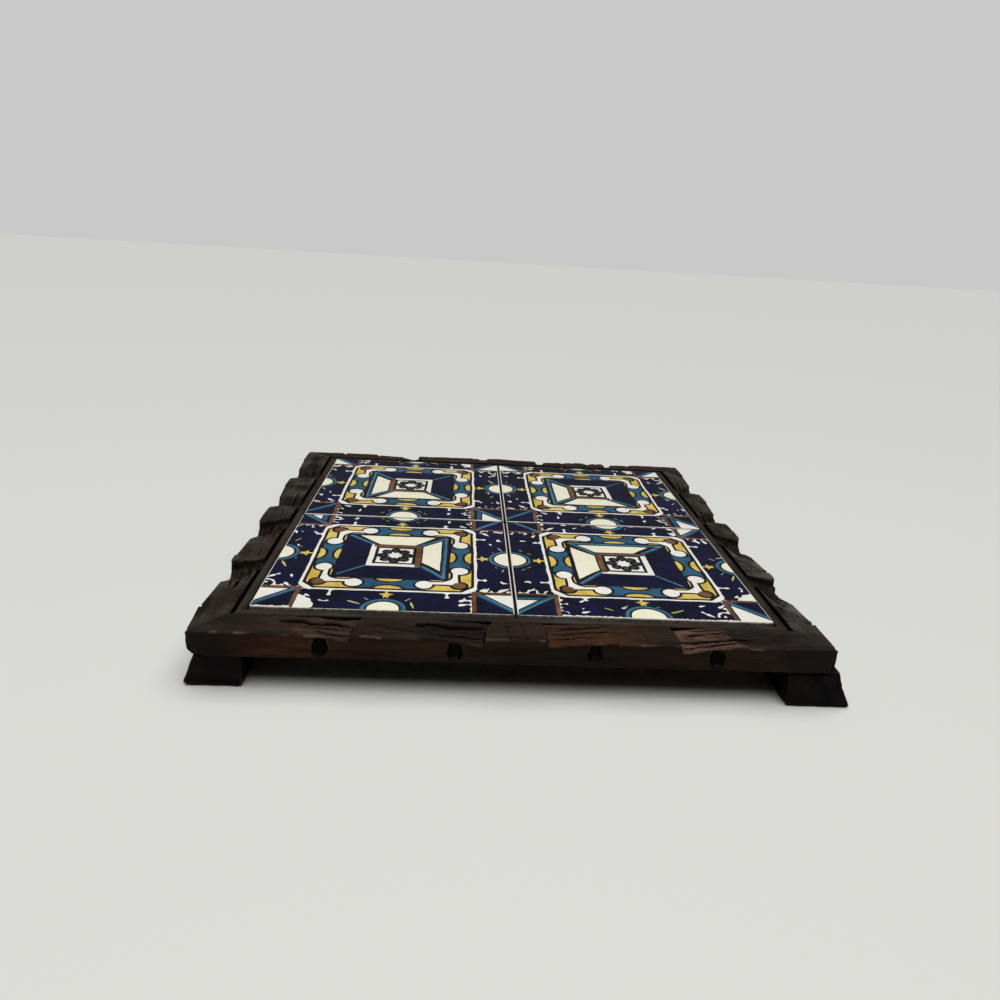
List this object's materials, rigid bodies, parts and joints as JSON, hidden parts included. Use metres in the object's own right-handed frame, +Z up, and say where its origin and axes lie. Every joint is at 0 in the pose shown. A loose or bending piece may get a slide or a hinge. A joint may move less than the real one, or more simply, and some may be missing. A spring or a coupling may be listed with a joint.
{
  "type": "trivet",
  "caption": "Footed trivet: glazed, patterned tiles in a hand carved, dark stained wood frame, for standing hot dishes on a table.",
  "frame": {"origin": "centre of the part's box seen from above, on the floor that the feet stand on", "axes": "+Z up, -Y towards the front of the picture, +X to its right"},
  "size_m": [0.272, 0.2576, 0.027],
  "materials": {
    "rail_wood": "carved, dark stained, worn satin",
    "liner_wood": "sawn, dark stained",
    "board_wood": "plain sawn",
    "foot_wood": "near black stain",
    "glazed_tile": "glazed earthenware, painted in blue, yellow, brown and white",
    "adhesive": "set tile adhesive",
    "nail_steel": "bright wire nail"
  },
  "bodies": {
    "root": {"rail_front": "rail_wood", "rail_right": "rail_wood", "rail_back": "rail_wood", "rail_left": "rail_wood", "liner_front": "liner_wood", "liner_right": "liner_wood", "liner_back": "liner_wood", "liner_left": "liner_wood", "base_board": "board_wood", "bed_front_left": "adhesive", "bed_front_right": "adhesive", "bed_back_right": "adhesive", "bed_back_left": "adhesive", "tile_front_left": "glazed_tile", "tile_front_right": "glazed_tile", "tile_back_right": "glazed_tile", "tile_back_left": "glazed_tile", "foot_front_left": "foot_wood", "foot_front_right": "foot_wood", "foot_back_right": "foot_wood", "foot_back_left": "foot_wood", "foot_nails": "nail_steel", "corner_brads": "nail_steel"}
  },
  "joints": []
}
